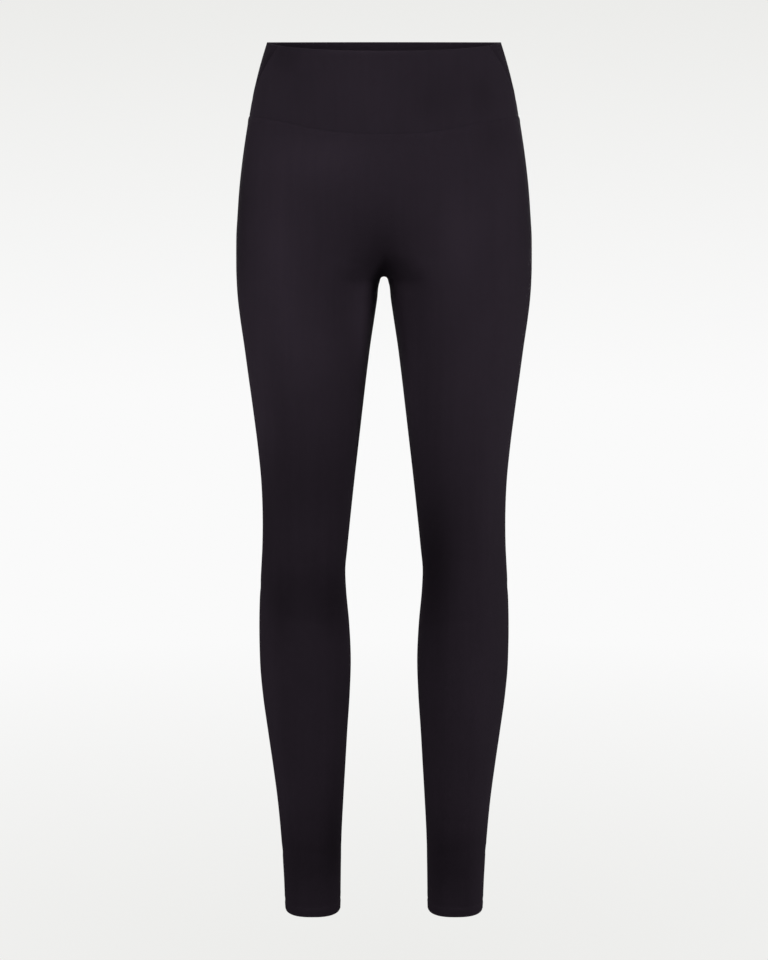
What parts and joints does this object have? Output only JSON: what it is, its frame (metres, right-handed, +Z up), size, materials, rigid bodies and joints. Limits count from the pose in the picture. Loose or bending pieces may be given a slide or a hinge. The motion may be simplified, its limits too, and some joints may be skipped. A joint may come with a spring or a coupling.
{
  "type": "leggings",
  "caption": "High-waisted full-length stretch leggings, filled out with no wearer, with a wide waistband, slanted band seams and turned-up hems.",
  "frame": {"origin": "centre of the waist opening, level with the top edge of the back waistband", "axes": "+X towards the wearer's left leg, -Y towards the garment's front, +Z up from the hems to the waist"},
  "size_m": [0.3232, 0.2333, 0.968],
  "materials": {
    "jersey": "fine matte stretch jersey, purple-tinged black",
    "waistband_jersey": "the same jersey in two layers"
  },
  "bodies": {
    "root": {"front": "jersey", "back_left": "jersey", "back_right": "jersey", "waistband_front": "waistband_jersey", "waistband_back": "waistband_jersey"}
  },
  "joints": []
}
